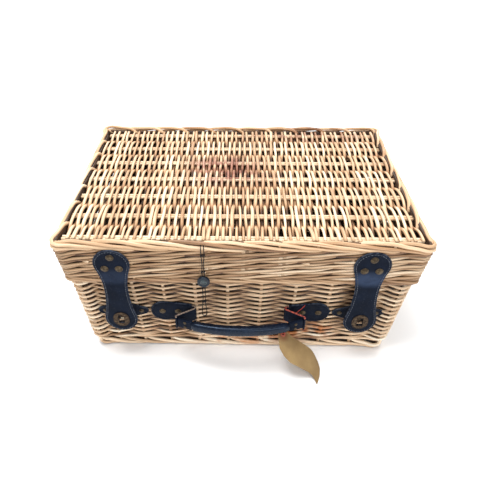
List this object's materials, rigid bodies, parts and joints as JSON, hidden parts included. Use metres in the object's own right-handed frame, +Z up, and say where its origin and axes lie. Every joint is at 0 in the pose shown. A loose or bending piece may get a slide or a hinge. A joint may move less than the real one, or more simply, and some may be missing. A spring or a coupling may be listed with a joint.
{
  "type": "wicker picnic basket",
  "caption": "Wicker picnic basket with a hinged lid, leather closing straps with turn locks, a bowed leather carry handle on the front, a hanging card and a string seal.",
  "frame": {"origin": "on the ground, at the centre of the woven base's underside", "axes": "+Z up; -Y is the front, with the straps and the handle; +X is the basket's right seen from the front"},
  "size_m": [0.46, 0.3702, 0.208],
  "materials": {
    "willow_lid": "pale peeled willow, dry, with a soft sheen",
    "willow_weave": "buff willow rods, semi-matt",
    "willow_border": "buff willow rods, semi-matt",
    "willow_sticks": "buff willow sticks, matt",
    "strap_leather": "dark navy leather, fine grain, pale stitching",
    "grip_leather": "dark navy leather, polished by hands",
    "rivet_brass": "dull antique brass",
    "lock_brass": "dull antique brass",
    "tag_card": "kraft card",
    "tag_eyelet": "red paper ring",
    "tag_thread": "red twisted thread",
    "seal_cord": "black waxed cord",
    "seal_disc": "dark glossy disc"
  },
  "bodies": {
    "basket": {"base_panel": "willow_weave", "base_sticks": "willow_sticks", "foot_border": "willow_border", "front_wall": "willow_weave", "back_wall": "willow_weave", "left_wall": "willow_weave", "right_wall": "willow_weave", "corner_posts": "willow_sticks", "front_stakes": "willow_sticks", "back_stakes": "willow_sticks", "end_stakes": "willow_sticks", "body_rim": "willow_border", "handle_tab_left": "strap_leather", "handle_tab_right": "strap_leather", "handle_fold_left": "strap_leather", "handle_fold_right": "strap_leather", "handle_tab_rivets": "rivet_brass", "lock_patch_left": "strap_leather", "lock_patch_right": "strap_leather", "lock_patch_rivets": "rivet_brass", "lock_base_left": "lock_brass", "lock_base_right": "lock_brass", "hinge_strap_left": "strap_leather", "hinge_strap_right": "strap_leather", "hinge_rivets_body": "rivet_brass", "tag_thread": "tag_thread"},
    "lid": {"lid_panel": "willow_lid", "lid_sticks": "willow_sticks", "lid_front_wall": "willow_weave", "lid_back_wall": "willow_weave", "lid_left_wall": "willow_weave", "lid_right_wall": "willow_weave", "lid_posts": "willow_sticks", "lid_stakes": "willow_sticks", "lid_edge_border": "willow_lid", "lid_rim": "willow_border", "strap_top_left": "strap_leather", "strap_top_right": "strap_leather", "strap_rivets": "rivet_brass", "hinge_rivets_lid": "rivet_brass"},
    "strap_left": {"strap_tail_left": "strap_leather", "slot_plate_left": "lock_brass", "slot_washer_left": "lock_brass"},
    "strap_right": {"strap_tail_right": "strap_leather", "slot_plate_right": "lock_brass", "slot_washer_right": "lock_brass"},
    "turn_left": {"turn_tongue_left": "lock_brass"},
    "turn_right": {"turn_tongue_right": "lock_brass"},
    "handle": {"handle_grip": "grip_leather", "handle_end_left": "strap_leather", "handle_end_right": "strap_leather", "handle_end_rivets": "rivet_brass"},
    "tag": {"tag_card": "tag_card", "tag_eyelet": "tag_eyelet"},
    "seal": {"seal_cord": "seal_cord", "seal_disc": "seal_disc"}
  },
  "joints": [
    {"name": "lid_hinge", "type": "hinge", "parent": "basket", "child": "lid", "pos_m": [0, 0.161, 0.1395], "axis": [-1, 0, 0], "range_deg": [0, 110], "deforming": ["hinge_strap_left", "hinge_strap_right"]},
    {"name": "strap_left_flex", "type": "hinge", "parent": "lid", "child": "strap_left", "pos_m": [-0.161, -0.16287, 0.142], "axis": [-1, 0, 0], "range_deg": [-7.5, 120]},
    {"name": "strap_right_flex", "type": "hinge", "parent": "lid", "child": "strap_right", "pos_m": [0.161, -0.16287, 0.142], "axis": [-1, 0, 0], "range_deg": [-7.5, 120]},
    {"name": "turn_left_turn", "type": "hinge", "parent": "basket", "child": "turn_left", "pos_m": [-0.161, -0.14522, 0.079], "axis": [0, -0.9974, -0.0722], "range_deg": [0, 90]},
    {"name": "turn_right_turn", "type": "hinge", "parent": "basket", "child": "turn_right", "pos_m": [0.161, -0.14522, 0.079], "axis": [0, -0.9974, -0.0722], "range_deg": [0, 90]},
    {"name": "handle_pull", "type": "slide", "parent": "basket", "child": "handle", "axis": [0, -1, 0], "range_m": [0, 0.014], "deforming": ["handle_fold_left", "handle_fold_right"]},
    {"name": "tag_swing", "type": "hinge", "parent": "basket", "child": "tag", "pos_m": [0.058, -0.172, 0.063], "axis": [-1, 0, 0], "range_deg": [0, 40]},
    {"name": "seal_swing", "type": "hinge", "parent": "lid", "child": "seal", "pos_m": [-0.047, -0.1642, 0.2066], "axis": [-1, 0, 0], "range_deg": [0, 60]}
  ]
}
